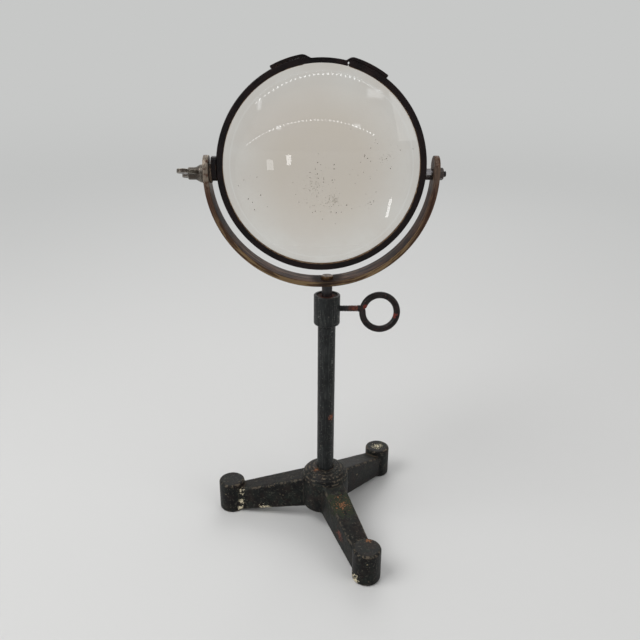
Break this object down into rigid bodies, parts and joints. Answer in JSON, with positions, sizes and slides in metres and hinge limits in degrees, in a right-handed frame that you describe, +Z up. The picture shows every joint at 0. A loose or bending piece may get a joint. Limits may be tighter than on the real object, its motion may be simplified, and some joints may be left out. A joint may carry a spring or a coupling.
{
  "type": "mounted converging lens",
  "caption": "Biconvex glass lens in a split metal ring, tilting in a brass yoke on a height-adjustable rod and cast iron tripod.",
  "frame": {"origin": "on the floor plane that the three feet stand on, under the column's axis", "axes": "+Z up along the column; +X towards the eye screw; -Y is the front, where the lens faces the viewer; the tilt axis is parallel to X"},
  "size_m": [0.1505, 0.129, 0.2963],
  "materials": {
    "casting": "black-green paint over cast iron, chipped and rusty at the edges",
    "column": "dark green-black paint, worn in upright streaks",
    "plain_steel": "dull steel",
    "eye": "dark steel, the thread red with rust",
    "rod": "blackened steel rod",
    "brass_head": "dark aged brass",
    "yoke_strip": "brown aged brass, greyer on its inner face",
    "ring_black": "worn black lacquer",
    "glass": "clear polished glass with light scratches",
    "packing": "brown cork packing",
    "wing_metal": "tarnished plain metal",
    "disc_brown": "brown tarnished brass"
  },
  "bodies": {
    "stand": {"tripod_base": "casting", "column_tube": "column", "column_washer": "plain_steel", "column_nut": "plain_steel", "clamp_collar": "column"},
    "eye": {"eye_screw": "eye"},
    "mast": {"mast_rod": "rod", "yoke_screw": "brass_head"},
    "fork": {"yoke": "yoke_strip"},
    "lens_ring": {"ring_band": "ring_black", "closing_bridge": "ring_black", "bridge_screws": "ring_black", "lens": "glass", "front_packing": "packing", "rear_packing": "packing", "pivot_pad": "ring_black", "pad_rivet": "ring_black", "wing_stud": "wing_metal", "spacer_disc": "disc_brown", "nut_stud": "ring_black", "pivot_nut": "wing_metal"},
    "washer": {"wing_washer": "wing_metal"},
    "wing": {"wing_nut": "wing_metal"}
  },
  "joints": [
    {"name": "height_slide", "type": "slide", "parent": "stand", "child": "mast", "axis": [0, 0, 1], "range_m": [-0.006, 0.095]},
    {"name": "yoke_swivel", "type": "hinge", "parent": "mast", "child": "fork", "pos_m": [0, 0, 0.1685], "axis": [0, 0, 1], "continuous": true},
    {"name": "lens_tilt", "type": "hinge", "parent": "fork", "child": "lens_ring", "pos_m": [-0.0038, 0, 0.23335], "axis": [1, 0, 0], "range_deg": [-160, 160]},
    {"name": "washer_float", "type": "slide", "parent": "lens_ring", "child": "washer", "axis": [-1, 0, 0], "range_m": [0, 0.0017]},
    {"name": "wing_turn", "type": "hinge", "parent": "washer", "child": "wing", "pos_m": [-0.0788, 0, 0.23335], "axis": [-1, 0, 0], "range_deg": [0, 720]},
    {"name": "eye_turn", "type": "hinge", "parent": "stand", "child": "eye", "pos_m": [0.02, 0, 0.152], "axis": [1, 0, 0], "range_deg": [0, 720]}
  ],
  "couplings": [
    {"joint": "washer_float", "follows": "wing_turn", "m_per_rad": 0.00012732}
  ]
}
